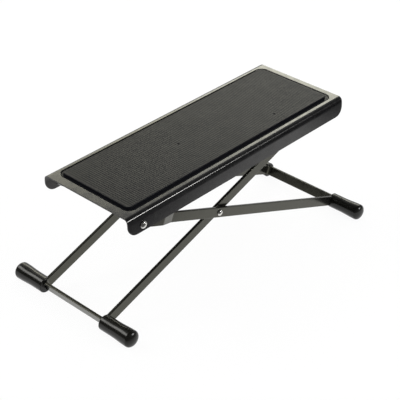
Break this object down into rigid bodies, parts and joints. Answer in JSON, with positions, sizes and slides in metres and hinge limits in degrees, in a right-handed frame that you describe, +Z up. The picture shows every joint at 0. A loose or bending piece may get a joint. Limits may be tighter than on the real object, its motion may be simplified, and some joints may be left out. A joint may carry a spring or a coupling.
{
  "type": "guitar_footrest",
  "caption": "Folding guitar footrest: a ribbed rubber mat on a pressed steel plate, carried by crossing bar frames with rubber feet and a notched height rack",
  "frame": {"origin": "on the floor, under the middle of the object's length and width, in its lowest standing setting", "axes": "+X along the footrest towards the rack end, +Y towards its far side as seen in the picture, +Z up"},
  "size_m": [0.3348, 0.1624, 0.1382],
  "materials": {
    "plate_paint": "satin black enamel",
    "mat_rubber": "ribbed dark grey rubber",
    "frame_paint": "satin black enamel",
    "rack_paint": "satin black enamel",
    "rod_steel": "zinc-plated steel",
    "rivet_steel": "bright nickel-plated steel",
    "washer_steel": "zinc-plated steel",
    "stud_steel": "plain steel",
    "foot_rubber": "smooth black moulded rubber"
  },
  "bodies": {
    "plate": {"top_plate": "plate_paint", "rubber_mat": "mat_rubber", "height_rack_near": "rack_paint", "height_rack_far": "rack_paint", "pivot_rivet_near": "rivet_steel", "pivot_rivet_far": "rivet_steel", "pivot_washer_near": "washer_steel", "pivot_washer_far": "washer_steel"},
    "rear_frame": {"rear_frame": "frame_paint", "crossing_rivet_near": "rivet_steel", "crossing_rivet_far": "rivet_steel", "crossing_washer_near": "washer_steel", "crossing_washer_far": "washer_steel", "foot_cap_rear_near": "foot_rubber", "foot_cap_rear_far": "foot_rubber", "foot_stud_rear_near": "stud_steel", "foot_stud_rear_far": "stud_steel"},
    "front_frame": {"front_frame": "frame_paint", "height_rod": "rod_steel", "foot_cap_front_near": "foot_rubber", "foot_cap_front_far": "foot_rubber", "foot_stud_front_near": "stud_steel", "foot_stud_front_far": "stud_steel"}
  },
  "joints": [
    {"name": "rear_frame_fold", "type": "hinge", "parent": "plate", "child": "rear_frame", "pos_m": [-0.12826, 0, 0.10233], "axis": [0, 1, 0], "range_deg": [-22.4, 20]},
    {"name": "front_frame_fold", "type": "hinge", "parent": "rear_frame", "child": "front_frame", "pos_m": [-0.02137, 0, 0.06733], "axis": [0, 1, 0], "range_deg": [-36.6, 41]}
  ],
  "couplings": [
    {"joint": "front_frame_fold", "follows": "rear_frame_fold", "ratio": -1.825}
  ]
}
